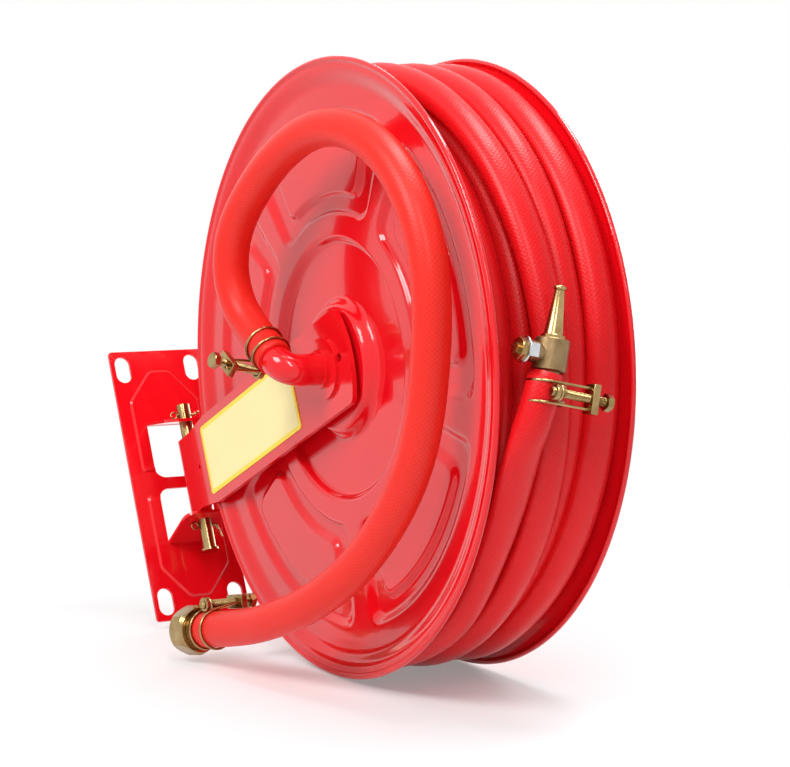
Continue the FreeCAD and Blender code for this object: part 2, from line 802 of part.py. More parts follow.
def outlet_elbow():
    points = [outlet_root, outlet_bend, hose_root_start]
    body, bore = bent_pipe(outlet_d / 2, outlet_bore / 2, points, outlet_bend_r, 40)
    body = body.fuse(barb(main_bore / 2 - bore_clear, hose_root_start, outlet_along, main_barb))
    save("outlet_elbow", [body.cut(bore)], REEL)


def drum_core():
    core = ring(core_r, core_r - core_t, at_u(core_low_u), at_u(core_high_u))
    slot_start = outlet_bend + outlet_along * outlet_corner
    slot = rod(main_r + core_t, slot_start, slot_start + outlet_along * 2 * core_r)
    save("drum_core", [core.cut(slot)], REEL)


def hose_root():
    """Start of the main hose, from the outlet's tail out to the winding."""
    root = rod(main_r, hose_root_start, hose_root_end)
    tail_room = rod(main_bore / 2, hose_root_start - outlet_along,
                    hose_root_start + outlet_along * (main_barb + 1))
    save("hose_root", [root.cut(tail_room)], REEL)


def lower_layers():
    """Outer shape of the covered turns: a whole turn shows beside each disc, flat in between."""
    side_u = pocket_u + sheet_t + winding_gap
    turn_u = side_u + main_r
    slant = main_r * math.sqrt(0.5)
    crest_r = lower_turns_r + main_r
    top_r = crest_r + winding_gap

    def across(points):
        """The same points beside the rear disc, in reverse order."""
        return [Vector(reel_width - point.x, point.y, 0) for point in reversed(points)]

    foot = [Vector(core_low_u, core_r, 0), Vector(core_low_u, field_from, 0),
            Vector(side_u, field_from + sheet_t, 0), Vector(side_u, lower_turns_r, 0)]
    arc = [foot[-1], Vector(turn_u, crest_r, 0), Vector(turn_u + slant, lower_turns_r + slant, 0)]
    shoulder = Vector(turn_u + main_r, top_r, 0)
    far_shoulder, far_arc, far_foot = across([shoulder])[0], across(arc), across(foot)
    edges = [Part.makeLine(a, b) for a, b in zip(foot, foot[1:])]
    edges.append(Part.Arc(*arc).toShape())
    edges.append(Part.makeLine(arc[-1], shoulder))
    edges.append(Part.makeLine(shoulder, far_shoulder))
    edges.append(Part.makeLine(far_shoulder, far_arc[0]))
    edges.append(Part.Arc(*far_arc).toShape())
    edges.extend(Part.makeLine(a, b) for a, b in zip(far_foot, far_foot[1:]))
    edges.append(Part.makeLine(far_foot[-1], foot[0]))
    return Part.Face(Part.Wire(edges)).revolve(Vector(), X_AXIS, 360)


def turn_piece(start, end, centre, sweep):
    """Stretch of a turn from start, about a centre, in the plane that holds all three."""
    out = (start - centre).normalize()
    along = (end - centre) - out * out.dot(end - centre)
    axis = out.cross(along).normalize()
    section = Part.Face(Part.Wire(Part.makeCircle(main_r, start, axis.cross(out))))
    return section.revolve(centre, axis, sweep)


def hose_winding():
    """The outer turns as tilted half circles on the covered ones, and the end that dives under."""
    marks = [turns_from + 180 * half for half in range(len(turn_stations))]
    spots = [wound(station, outer_turns_r, -mark) for station, mark in zip(turn_stations, marks)]
    pieces = []
    for start, end, mark in zip(spots, spots[1:], marks):
        sideways = wound((start.x + end.x) / 2, outer_turns_r, -mark - 90)
        centre = (start + end) / 2
        pieces.append(turn_piece(start, sideways, centre, 180))
    dive = spots[-1]
    centre = wound(dive.x, outer_turns_r - lower_turns_r, -marks[-1])
    goal = wound(dive.x, lower_turns_r, -marks[-1] - turnaround)
    pieces.append(turn_piece(dive, goal, centre, turnaround))
    save("hose_winding", [lower_layers().fuse(pieces)], REEL)


# ---------------------------------------------------------------- nozzle and its hose end
def wound(u, radius, degrees):
    """Point on the reel: station, radius and angle from -Y towards +Z."""
    angle = math.radians(degrees)
    return Vector(u, -radius * math.cos(angle), radius * math.sin(angle))


nozzle_base = wound(*nozzle_start)
nozzle_along = (wound(*nozzle_tip) - nozzle_base).normalize()
nozzle_length = nozzle_base.distanceToPoint(wound(*nozzle_tip))
nozzle_place = facing(nozzle_base, nozzle_along, Vector(0, -1, 0))
NOZZLE = REEL.multiply(nozzle_place)
hose_tip = nozzle_base + nozzle_along * clamp_from_end

# Route of the hose's loose end, from the winding up to the nozzle
tail_route = [wound(turn_stations[0], outer_turns_r + 0.5, -turns_from),
              wound(30.5, outer_turns_r + 1, -51.0),
              wound(28.2, outer_turns_r + 3, -36.0),
              wound(28.5, outer_turns_r + 6.7, -23.8),
              wound(28.8, outer_turns_r + 25.1, -9.8),
              nozzle_base - nozzle_along * 10,
              hose_tip]


def hose_tail():
    tail = cord_tube(tail_route, main_d, "hose tail")
    tail = tail.cut(rod(main_bore / 2, hose_tip + nozzle_along, hose_tip - nozzle_along * (main_barb + 1)))
    save("hose_tail", [tail], REEL)


body_low_z = body_from
body_high_z = body_from + body_length
valve_z = body_low_z + body_length / 2
spindle_r = spindle_d / 2


def nozzle_point(z, y=0.0, x=0.0):
    return Vector(x, y, z)


def nozzle_body():
    """Tail, round body with its side boss, and the way through for the plug."""
    body = barb(main_bore / 2 - bore_clear, nozzle_point(clamp_from_end), Z_AXIS * -1, main_barb)
    profile = [(clamp_from_end, 0), (clamp_from_end, body_neck_d / 2), (body_low_z, body_neck_d / 2),
               (body_low_z, body_d / 2 - 1), (body_low_z + 1, body_d / 2), (body_high_z - 1, body_d / 2),
               (body_high_z, body_d / 2 - 1), (body_high_z, 0)]
    body = body.fuse(turned(profile, Z_AXIS))
    boss_end = -body_d / 2 - boss_length
    body = body.fuse(rod(boss_d / 2, nozzle_point(valve_z), nozzle_point(valve_z, boss_end)))
    cuts = [rod(jet_root_d / 2 - 2, nozzle_point(-40), nozzle_point(body_high_z + 1)),
            rod(plug_r + plug_gap, nozzle_point(valve_z, -plug_r - 3), nozzle_point(valve_z, plug_r + 3)),
            rod(spindle_r + plug_gap, nozzle_point(valve_z), nozzle_point(valve_z, boss_end - 1))]
    save("nozzle_body", [body.cut(cuts)], NOZZLE)


def jet_tip():
    """Long tapered tip on its collar, with a rolled lip at the mouth."""
    collar_end = body_high_z + jet_collar_t
    lip = 2.4
    neck = jet_tip_d / 2
    profile = [(body_high_z, body_neck_d / 2), (collar_end - 1.2, body_neck_d / 2),
               (collar_end - 1.2, jet_root_d / 2 + 0.6), (collar_end, jet_root_d / 2),
               (nozzle_length - 2 * lip, neck), (nozzle_length - 1.4 * lip, jet_lip_d / 2),
               (nozzle_length - 0.4 * lip, jet_lip_d / 2), (nozzle_length, jet_lip_d / 2 - 0.8),
               (nozzle_length, jet_bore_d / 2), (nozzle_length - 3 * lip, jet_bore_d / 2 - 0.6),
               (body_high_z, jet_root_d / 2 - 2)]
    save("nozzle_tip", [turned(profile, Z_AXIS)], NOZZLE)


def valve_pieces():
    """Plug with its spindle, hand lever and the nut that holds the lever."""
    boss_end = -body_d / 2 - boss_length
    lever_y = boss_end - 2.5
    tip_y = lever_y - lever_t - lever_nut_t - 3.0
    plug = rod(plug_r, nozzle_point(valve_z, -plug_r - 2), nozzle_point(valve_z, plug_r + 2))
    plug = plug.fuse(rod(spindle_r, nozzle_point(valve_z, -plug_r - 2), nozzle_point(valve_z, tip_y)))
    plug = plug.fuse(rod(boss_d / 2 - 2, nozzle_point(valve_z, boss_end - 0.3),
                         nozzle_point(valve_z, lever_y)))
    way = rod(jet_root_d / 2 - 2, nozzle_point(valve_z - plug_r - 1), nozzle_point(valve_z + plug_r + 1))
    save("valve_plug", [plug.cut(way)], NOZZLE)

    plate = rod(lever_r, nozzle_point(valve_z, lever_y), nozzle_point(valve_z, lever_y - lever_t))
    tab_long, tab_wide = lever_tab
    half = tab_long / 2
    tab = box((lever_r - lever_t, lever_r), (lever_y - lever_t, lever_y + tab_wide),
              (valve_z - half, valve_z + half))
    lever = plate.fuse(tab)
    lever = lever.cut(rod(spindle_r + press_gap, nozzle_point(valve_z, lever_y + 1),
                          nozzle_point(valve_z, lever_y - lever_t - 1)))
    save("valve_lever", [lever.removeSplitter()], NOZZLE)

    nut_start = nozzle_point(valve_z, lever_y - lever_t)
    nut_end = nozzle_point(valve_z, lever_y - lever_t - lever_nut_t)
    nut = hexagon(lever_nut_flats, nut_start, nut_end, Z_AXIS)
    nut = nut.cut(rod(spindle_r + press_gap, nut_start + Y_AXIS, nut_end - Y_AXIS))
    save("lever_nut", [nut], NOZZLE)


# ---------------------------------------------------------------- hose clamps
def clamp(prefix, hose_r, place):
    """Twin-wire clamp: Z along the hose, X out to its bolt, Y along the bolt."""
    wire_ring_r = hose_r + clamp_play + wire_r
    bolt_r = clamp_bolt_d / 2
    bolt_x = hose_r + 2 * wire_r + bolt_r + clamp_bolt_gap
    half = wire_spacing / 2
    eye_r = bolt_r + clamp_eye_gap + wire_r
    bar_x, bar_y, bar_z = clamp_bar_size

    def bar_wire(side):
        end = Vector(bolt_x, clamp_bar_y + bar_y / 2 + wire_r, side * half)
        return Vector(wire_ring_r, 0, side * half), end

    band = []
    for side in (-1, 1):
        band.append(Part.makeTorus(wire_ring_r, wire_r, Vector(0, 0, side * half)))
        band.append(rod(wire_r, *bar_wire(side)))
        band.append(rod(wire_r, Vector(wire_ring_r, clamp_loop_y, side * half),
                        Vector(bolt_x, clamp_loop_y, side * (eye_r - clamp_wire_bite))))
    eye = Part.makeTorus(eye_r, wire_r, Vector(bolt_x, clamp_loop_y, 0), Y_AXIS)
    wire = eye.fuse(band)
    bar = box((bolt_x - bar_x / 2, bolt_x + bar_x / 2), (clamp_bar_y - bar_y / 2, clamp_bar_y + bar_y / 2),
              (-bar_z / 2, bar_z / 2))
    holes = [rod(bolt_r + clamp_play, Vector(bolt_x, 0, 0), Vector(bolt_x, clamp_head_y, 0))]
    for side in (-1, 1):
        wire_start, wire_end = bar_wire(side)
        holes.append(rod(wire_r + clamp_play, wire_start, wire_end))
    save(prefix + "_clamp_wires", [wire], place)
    save(prefix + "_clamp_bar", [bar.cut(holes)], place)

    head_low = Vector(bolt_x, clamp_head_y, 0)
    head_high = head_low + Y_AXIS * clamp_head_t
    bolt = rod(bolt_r, Vector(bolt_x, clamp_tip_y, 0), head_low)
    bolt = bolt.fuse(hexagon(clamp_head_flats, head_low, head_high, Z_AXIS))
    save(prefix + "_clamp_bolt", [bolt.removeSplitter()], place)
    nut_high = Vector(bolt_x, clamp_loop_y - wire_r - running_gap, 0)
    nut = ring(clamp_nut_d / 2, bolt_r + press_gap, nut_high - Y_AXIS * clamp_nut_t, nut_high)
    save(prefix + "_clamp_nut", [nut], place)


def hose_clamps():
    feed_r = feed_d / 2
    inlet_spot = facing(feed_start + elbow_out * clamp_from_end, elbow_out, Vector(-0.3, 0.8, -0.6))
    clamp("inlet", feed_r, ARM.multiply(inlet_spot))
    end_spot = facing(feed_end - nut_axis * clamp_from_end, nut_axis, Vector(0, -0.25, 1))
    clamp("feed_end", feed_r, ARM.multiply(end_spot))
    clamp("nozzle", main_r, NOZZLE)
    root_spot = facing(hose_root_start + outlet_along * clamp_from_end, outlet_along, Vector(0, 0, 1))
    clamp("root", main_r, REEL.multiply(root_spot))


# ---------------------------------------------------------------- the whole reel
def main():
    wall_plate()
    hinge_pin()
    split_pin(split_above_z, "upper_split_pin", upper_leg_ends)
    split_pin(split_below_z, "lower_split_pin", lower_leg_ends)
    swing_arm()
    label_plate()
    inlet_shaft()
    small_rings()
    inlet_elbow()
    feed_hose()
    tail_piece()
    swivel_nut()
    side_discs()
    hub_sleeve()
    outlet_elbow()
    drum_core()
    hose_root()
    hose_winding()
    hose_tail()
    nozzle_body()
    jet_tip()
    valve_pieces()
    hose_clamps()


main()
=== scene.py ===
import json
import math

import bmesh
import bpy
import numpy as np
from mathutils import Matrix, Vector


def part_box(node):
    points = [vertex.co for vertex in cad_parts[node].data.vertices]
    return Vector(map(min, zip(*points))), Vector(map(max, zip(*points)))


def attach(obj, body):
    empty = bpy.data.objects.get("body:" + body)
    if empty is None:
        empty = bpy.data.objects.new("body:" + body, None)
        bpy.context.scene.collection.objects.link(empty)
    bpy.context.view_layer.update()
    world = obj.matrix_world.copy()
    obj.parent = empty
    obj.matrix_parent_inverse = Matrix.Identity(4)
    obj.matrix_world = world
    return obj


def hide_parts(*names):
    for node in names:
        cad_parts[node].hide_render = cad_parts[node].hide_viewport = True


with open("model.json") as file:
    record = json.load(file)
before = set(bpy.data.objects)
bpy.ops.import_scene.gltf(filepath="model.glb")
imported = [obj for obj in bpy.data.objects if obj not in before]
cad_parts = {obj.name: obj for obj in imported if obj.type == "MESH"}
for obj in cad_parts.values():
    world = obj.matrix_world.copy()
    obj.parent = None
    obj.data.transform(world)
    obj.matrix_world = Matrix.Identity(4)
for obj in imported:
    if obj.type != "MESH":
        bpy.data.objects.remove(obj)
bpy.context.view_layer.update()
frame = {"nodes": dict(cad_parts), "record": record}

# ---------------------------------------------------------------- places and sizes
# Metres throughout. The arm's frame has its origin on the shaft in the front rim's plane,
# with X along the shaft. The reel's frame is the arm's, turned about X.
HUB = Vector((-0.0051, -0.3536, -0.0075238))
REEL_TURN = math.radians(24.1)
TO_ARM = Matrix.Translation(HUB)
TO_REEL = TO_ARM @ Matrix.Rotation(REEL_TURN, 4, "X")

REEL_WIDTH = 0.134
FEED_RADIUS = 0.016
MAIN_RADIUS = 0.0135


# ---------------------------------------------------------------- small tools
def link(obj):
    bpy.context.collection.objects.link(obj)
    return obj


def mesh_object(name, vertices, faces, smooth=True):
    """Object from points and faces."""
    mesh = bpy.data.meshes.new(name)
    mesh.from_pydata([tuple(v) for v in vertices], [], [tuple(int(i) for i in f) for f in faces])
    mesh.polygons.foreach_set("use_smooth", [smooth] * len(mesh.polygons))
    mesh.update()
    return link(bpy.data.objects.new(name, mesh))


def creased(obj, degrees=35):
    """Shades the object smooth, but not across edges sharper than the angle."""
    obj.data.set_sharp_from_angle(angle=math.radians(degrees))
    return obj


def finish_piece(piece, material, body, node):
    """A piece that stands for one CAD node."""
    piece.data.materials.append(material)
    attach(piece, body)
    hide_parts(node)


def grid_faces(rows, columns, close_rows=False, close_columns=False):
    """Quads of a grid of rows by columns points."""
    r = np.arange(rows if close_rows else rows - 1)
    c = np.arange(columns if close_columns else columns - 1)
    rr, cc = np.meshgrid(r, c, indexing="ij")
    r1 = (rr + 1) % rows
    c1 = (cc + 1) % columns
    quads = np.stack([rr * columns + cc, rr * columns + c1, r1 * columns + c1, r1 * columns + cc], -1)
    return quads.reshape(-1, 4)


def moved(points, matrix):
    flat = np.asarray(points, float).reshape(-1, 3)
    m = np.array(matrix)
    return flat @ m[:3, :3].T + m[:3, 3]


def smoothstep(t):
    t = np.clip(t, 0.0, 1.0)
    return t * t * (3 - 2 * t)


def even_turn(count):
    """That many angles round a circle, evenly spaced from 0."""
    return np.arange(count) * 2 * math.pi / count


def length_along(line):
    """Distance from a line's start at each of its points."""
    return np.concatenate([[0], np.cumsum(np.linalg.norm(np.diff(line, axis=0), axis=1))])


def wound(u, radius, degrees):
    """Point on the reel: station along the shaft, radius, and angle from -Y towards +Z."""
    angle = math.radians(degrees)
    return Vector((u, -radius * math.cos(angle), radius * math.sin(angle)))


def facing(origin, z_dir, x_hint):
    """Place whose Z is z_dir and whose X is as near x_hint as it can be."""
    z = z_dir.normalized()
    x = (x_hint - z * x_hint.dot(z)).normalized()
    return Matrix.Translation(origin) @ Matrix((x, z.cross(x), z)).transposed().to_4x4()


# ---------------------------------------------------------------- materials
class Shader:
    """Node tree with short calls for the few nodes used here."""

    def __init__(self, name, **values):
        self.material = bpy.data.materials.new(name)
        self.material.use_nodes = True
        self.tree = self.material.node_tree
        self.bsdf = self.tree.nodes["Principled BSDF"]
        for key, value in values.items():
            self.bsdf.inputs[key.replace("_", " ")].default_value = value

    def add(self, kind, **settings):
        node = self.tree.nodes.new(kind)
        for key, value in settings.items():
            if hasattr(node, key):
                setattr(node, key, value)
            else:
                node.inputs[key].default_value = value
        return node

    def join(self, out_socket, in_socket):
        self.tree.links.new(out_socket, in_socket)

    def coords(self):
        return self.add("ShaderNodeTexCoord").outputs["Object"]

    def split(self, vector):
        """The X, Y and Z of a vector."""
        node = self.add("ShaderNodeSeparateXYZ")
        self.join(vector, node.inputs["Vector"])
        return node.outputs

    def noise(self, vector, scale, detail=3.0, rough=0.5):
        node = self.add("ShaderNodeTexNoise", Scale=scale, Detail=detail, Roughness=rough)
        self.join(vector, node.inputs["Vector"])
        return node.outputs["Fac"]

    def span(self, value, low, high, from_low=0.0, from_high=1.0):
        node = self.add("ShaderNodeMapRange")
        self.join(value, node.inputs["Value"])
        node.inputs["From Min"].default_value = from_low
        node.inputs["From Max"].default_value = from_high
        node.inputs["To Min"].default_value = low
        node.inputs["To Max"].default_value = high
        return node.outputs["Result"]

    def blend_colours(self, factor, first, second):
        node = self.add("ShaderNodeMix", data_type="RGBA")
        self.join(factor, node.inputs[0])
        for socket, colour in ((node.inputs[6], first), (node.inputs[7], second)):
            if isinstance(colour, tuple):
                socket.default_value = (*colour, 1.0)
            else:
                self.join(colour, socket)
        return node.outputs[2]

    def math(self, operation, first, second=None):
        node = self.add("ShaderNodeMath", operation=operation)
        for socket, value in zip(node.inputs, (first, second)):
            if value is None:
                continue
            if isinstance(value, (int, float)):
                socket.default_value = value
            else:
                self.join(value, socket)
        return node.outputs[0]

    def colour(self, out_socket):
        self.join(out_socket, self.bsdf.inputs["Base Color"])

    def vary_roughness(self, value, roughness, least, most):
        """Roughness from least to most times the plain one."""
        self.join(self.span(value, roughness * least, roughness * most), self.bsdf.inputs["Roughness"])

    def bump(self, height, distance, strength):
        node = self.add("ShaderNodeBump", Distance=distance, Strength=strength)
        self.join(height, node.inputs["Height"])
        self.join(node.outputs["Normal"], self.bsdf.inputs["Normal"])


def dimmed(colour, share):
    return tuple(share * c for c in colour)


def paint(name, colour, roughness):
    """Glossy sprayed coat with a faint orange peel and slightly uneven gloss."""
    s = Shader(name, Roughness=roughness, Specular_IOR_Level=0.2,
               Coat_Weight=0.75, Coat_Roughness=0.05, Coat_IOR=1.45)
    place = s.coords()
    tone = s.noise(place, scale=9.0, detail=2.0)
    s.colour(s.blend_colours(tone, dimmed(colour, 0.88), colour))
    s.vary_roughness(s.noise(place, scale=60.0), roughness, least=0.8, most=1.3)
    s.bump(s.noise(place, scale=260.0, detail=2.0), distance=0.00012, strength=0.35)
    return s.material


def woven_hose(name, colour, around, pitch, roughness):
    """Smooth rubber skin over a braid: two crossing sets of fine ridges show through.

    UV holds metres along the hose and a share of the way round."""
    s = Shader(name, Roughness=roughness, Specular_IOR_Level=0.2,
               Coat_Weight=0.15, Coat_Roughness=0.3, Coat_IOR=1.4)
    parts = s.split(s.add("ShaderNodeUVMap", uv_map="UVMap").outputs["UV"])
    along, turn = parts["X"], parts["Y"]
    ridges = []
    for sign in (1, -1):
        phase = s.math("ADD", s.math("MULTIPLY", along, 2 * math.pi / pitch),
                       s.math("MULTIPLY", turn, sign * 2 * math.pi * around))
        ridges.append(s.math("SINE", phase))
    weave = s.span(s.math("MAXIMUM", *ridges), 0.0, 1.0, from_low=-0.4)
    tone = s.noise(s.coords(), scale=14.0)
    base = s.blend_colours(tone, dimmed(colour, 0.9), colour)
    s.colour(s.blend_colours(weave, dimmed(colour, 0.84), base))
    s.vary_roughness(tone, roughness, least=0.85, most=1.25)
    s.bump(weave, distance=0.0003, strength=0.3)
    return s.material


def metal(name, colour, tint, roughness, grain=300.0, relief=0.0001):
    """Plated or cast metal with uneven tone and a fine grain."""
    s = Shader(name, Metallic=1.0, Roughness=roughness)
    place = s.coords()
    tone = s.noise(place, scale=45.0, detail=4.0, rough=0.6)
    s.colour(s.blend_colours(s.span(tone, 0.0, 1.0, from_low=0.35, from_high=0.65), colour, tint))
    s.vary_roughness(s.noise(place, grain), roughness, least=0.75, most=1.35)
    s.bump(s.noise(place, grain, detail=4.0), relief, strength=0.5)
    return s.material


def plain(name, colour, roughness):
    """Matt rubber or plastic with a faint grain."""
    s = Shader(name, Roughness=roughness)
    place = s.coords()
    s.colour(s.blend_colours(s.noise(place, scale=25.0), dimmed(colour, 0.93), colour))
    s.bump(s.noise(place, scale=500.0), distance=0.00008, strength=0.3)
    return s.material


LABEL_BORDER = 0.004
LABEL_EDGE = 0.0006


def bordered_film():
    """Pale yellow label plate with a stronger yellow border, left bare."""
    low, high = (Vector(corner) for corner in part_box("label_plate"))
    s = Shader("label_film", Roughness=0.3)
    place = s.coords()
    parts = s.split(place)
    outside = []
    for axis, name in ((1, "Y"), (2, "Z")):
        middle, half = (low[axis] + high[axis]) / 2, (high[axis] - low[axis]) / 2
        off = s.math("ABSOLUTE", s.math("SUBTRACT", parts[name], middle))
        outside.append(s.math("SUBTRACT", off, half - LABEL_BORDER))
    border = s.span(s.math("MAXIMUM", *outside), 0.0, 1.0, from_low=-LABEL_EDGE, from_high=LABEL_EDGE)
    field = s.blend_colours(s.noise(place, scale=25.0), (0.93, 0.83, 0.37), (0.97, 0.87, 0.42))
    s.colour(s.blend_colours(border, field, (0.95, 0.74, 0.03)))
    s.bump(s.noise(place, scale=300.0), distance=0.00008, strength=0.3)
    return s.material


red_paint = paint("red_paint", (0.80, 0.004, 0.010), roughness=0.16)
feed_rubber = woven_hose("feed_rubber", (0.86, 0.026, 0.016), around=22, pitch=0.0040, roughness=0.38)
main_rubber = woven_hose("main_rubber", (0.80, 0.008, 0.012), around=20, pitch=0.0037, roughness=0.33)
yellow_zinc = metal("yellow_zinc", (0.30, 0.195, 0.075), (0.48, 0.34, 0.16), roughness=0.17)
cast_brass = metal("cast_brass", (0.22, 0.135, 0.060), (0.36, 0.245, 0.125), roughness=0.36,
                   grain=900.0, relief=0.0004)
turned_brass = metal("turned_brass", (0.34, 0.215, 0.085), (0.50, 0.35, 0.16), roughness=0.20)
bright_zinc = metal("bright_zinc", (0.58, 0.60, 0.64), (0.72, 0.73, 0.76), roughness=0.18)
black_rubber = plain("black_rubber", (0.02, 0.02, 0.02), roughness=0.6)
nylon = plain("nylon", (0.8, 0.8, 0.76), roughness=0.45)

SLOT_MATERIAL = {
    "red_paint": red_paint, "red_hose": main_rubber, "yellow_plate": bordered_film(),
    "yellow_zinc": yellow_zinc, "bright_zinc": bright_zinc, "brass": turned_brass,
    "black_rubber": black_rubber, "nylon": nylon,
}
NODE_MATERIAL = {"nozzle_body": cast_brass, "inlet_hose": feed_rubber}


def dress_nodes():
    slots = {row["node"]: row["material_slot"] for row in frame["record"]["subparts"]}
    for node, obj in frame["nodes"].items():
        material = NODE_MATERIAL.get(node, SLOT_MATERIAL[slots[node]])
        obj.data.materials.clear()
        obj.data.materials.append(material)


# ---------------------------------------------------------------- pressed side discs
HUB_HOLE = 0.023
SHEET = 0.0015
RIM_LEVEL = 0.0015
BEAD = 0.0025
BEAD_CENTRE = 0.2675
BEAD_SHARE = 0.80
BEAD_POINTS = 15
DISC_TURN_POINTS = 540
# Radii at which the disc has points: from, to, and how many
DISC_RADII = ((HUB_HOLE, 0.050, 4), (0.052, 0.065, 9), (0.070, 0.106, 4), (0.108, 0.118, 7),
              (0.121, 0.230, 58), (0.232, 0.2650, 16))
# Radius, and how far the disc's outer surface lies there behind the rim's plane
LEVELS = ((0.000, 0.003), (0.053, 0.003), (0.063, 0.014), (0.109, 0.014),
          (0.116, 0.007), (0.244, 0.007), (0.261, RIM_LEVEL), (0.300, RIM_LEVEL))
POCKETS = 5
POCKET_FIRST = math.radians(78.5)
POCKET_DEPTH = 0.005
# Outlines in a pocket: inner radius, outer radius, half angle in degrees, corner radius
MOUTH = (0.135, 0.227, 32.5, 0.015)
FLOOR = (0.138, 0.218, 29.5, 0.012)
ISLAND_BASE = (0.150, 0.210, 25.0, 0.014)
ISLAND_TOP = (0.154, 0.205, 23.0, 0.012)


def sector_distance(radius, angle, outline):
    """Signed distance to a rounded ring sector; negative inside."""
    inner, outer, half_degrees, corner = outline
    side = radius * np.sin(np.abs(angle) - math.radians(half_degrees))
    across = np.abs(radius - (inner + outer) / 2) - (outer - inner) / 2
    a, b = side + corner, across + corner
    return np.hypot(np.maximum(a, 0), np.maximum(b, 0)) + np.minimum(np.maximum(a, b), 0) - corner


def between(outer, inner):
    """0 at the outer outline, 1 at the inner one, smooth in between."""
    return smoothstep(-outer / np.maximum(inner - outer, 1e-9))


def disc_level(radius, angle):
    """Distance of the disc's outer surface behind the rim's plane."""
    level = np.zeros_like(radius)
    for (r0, u0), (r1, u1) in zip(LEVELS, LEVELS[1:]):
        inside = (radius >= r0) & (radius <= r1)
        share = smoothstep((radius - r0) / (r1 - r0))
        level = np.where(inside, u0 + (u1 - u0) * share, level)
    step = 2 * math.pi / POCKETS
    local = (angle - POCKET_FIRST + step / 2) % step - step / 2
    sink = between(sector_distance(radius, local, MOUTH), sector_distance(radius, local, FLOOR))
    rise = between(sector_distance(radius, local, ISLAND_BASE), sector_distance(radius, local, ISLAND_TOP))
    return level + POCKET_DEPTH * (sink - rise)


def pressed_disc(name, node, mirrored):
    """Pressed steel disc with its rolled rim, as one closed skin."""
    field = np.concatenate([np.linspace(*rings) for rings in DISC_RADII])
    start = math.atan2(RIM_LEVEL - BEAD, field[-1] - BEAD_CENTRE)
    bead_angles = np.linspace(start, start + 2 * math.pi * BEAD_SHARE, BEAD_POINTS)[1:-1]
    columns = []
    for angle in even_turn(DISC_TURN_POINTS):
        outer = disc_level(field, np.full_like(field, angle))
        radius = np.concatenate([field, BEAD_CENTRE + BEAD * np.cos(bead_angles), field[::-1]])
        u = np.concatenate([outer, BEAD + BEAD * np.sin(bead_angles), (outer + SHEET)[::-1]])
        columns.append(np.stack([u, radius * math.cos(angle), radius * math.sin(angle)], -1))
    points = np.array(columns)
    faces = grid_faces(*points.shape[:2], True, True)
    if mirrored:
        points[..., 0] = REEL_WIDTH - points[..., 0]
    else:
        faces = faces[:, ::-1]
    finish_piece(mesh_object(name, moved(points, TO_REEL), faces), red_paint, "reel", node)


# ---------------------------------------------------------------- hoses
HOSE_SIDES = 32


def spline_line(points, resolution):
    """Points of the smooth spline whose control points are given."""
    curve = bpy.data.curves.new("line", "CURVE")
    curve.dimensions = "3D"
    spline = curve.splines.new("NURBS")
    spline.points.add(len(points) - 1)
    for knot, place in zip(spline.points, points):
        knot.co = (*place, 1.0)
    spline.order_u = 3
    spline.use_endpoint_u = True
    spline.resolution_u = resolution
    holder = link(bpy.data.objects.new("line", curve))
    graph = bpy.context.evaluated_depsgraph_get()
    mesh = bpy.data.meshes.new_from_object(holder.evaluated_get(graph), depsgraph=graph)
    line = np.array([vertex.co for vertex in mesh.vertices])
    bpy.data.objects.remove(holder)
    bpy.data.curves.remove(curve)
    bpy.data.meshes.remove(mesh)
    return line


def frames_along(line):
    """Directions along a line, and two across it that turn as little as they can."""
    along = np.gradient(line, axis=0)
    along /= np.linalg.norm(along, axis=1)[:, None]
    side = np.cross(along[0], (0.3, 0.2, 1.0))
    side /= np.linalg.norm(side)
    sides = [side]
    for direction in along[1:]:
        side = side - direction * side.dot(direction)
        side /= np.linalg.norm(side)
        sides.append(side)
    sides = np.array(sides)
    return along, sides, np.cross(along, sides)


def oval(half_width):
    """Half height of a pressed hose of that half width; its girth stays the same."""
    return np.sqrt(2 * MAIN_RADIUS ** 2 - np.asarray(half_width) ** 2)


def hose_uv(mesh, line, sides, quads):
    """UV of a tube: metres along it and the share of the way round."""
    loops = np.zeros(len(mesh.loops), int)
    mesh.loops.foreach_get("vertex_index", loops)
    place = np.arange(len(loops))
    corner = place % 4
    wrapped = (loops % sides == 0) & ((corner == 1) | (corner == 2)) & (place < 4 * quads)
    share = np.where(wrapped, 1.0, (loops % sides) / sides)
    coordinates = np.stack([length_along(line)[loops // sides], share], -1)
    mesh.uv_layers.new(name="UVMap").data.foreach_set("uv", coordinates.ravel())


def tube(name, line, radius, sides, material, widths=None, axis=None, round_share=0.0):
    """Tube with flat ends.

    With widths, it is an oval, that wide along the axis and lower the other way."""
    along, side, up = frames_along(line)
    wide = high = np.full(len(line), radius)
    if widths is not None:
        side = axis - along * (along @ axis)[:, None]
        side /= np.linalg.norm(side, axis=1)[:, None]
        up = np.cross(along, side)
        wide, high = widths, oval(widths) * (1 - round_share) + widths * round_share
    turn = even_turn(sides)
    ring = (wide[:, None, None] * np.cos(turn)[None, :, None] * side[:, None]
            + high[:, None, None] * np.sin(turn)[None, :, None] * up[:, None])
    points = (line[:, None] + ring).reshape(-1, 3)
    quads = grid_faces(len(line), sides, False, True)
    ends = [range(sides)[::-1], range(len(points) - sides, len(points))]
    obj = mesh_object(name, points, [*quads, *ends])
    for end in (len(quads), len(quads) + 1):
        obj.data.polygons[end].use_smooth = False
    hose_uv(obj.data, line, sides, len(quads))
    obj.data.materials.append(material)
    return obj


def clamp_pieces(prefix):
    return [bpy.data.objects[prefix + "_clamp_" + part] for part in ("bent_wire", "block", "screw", "collar")]


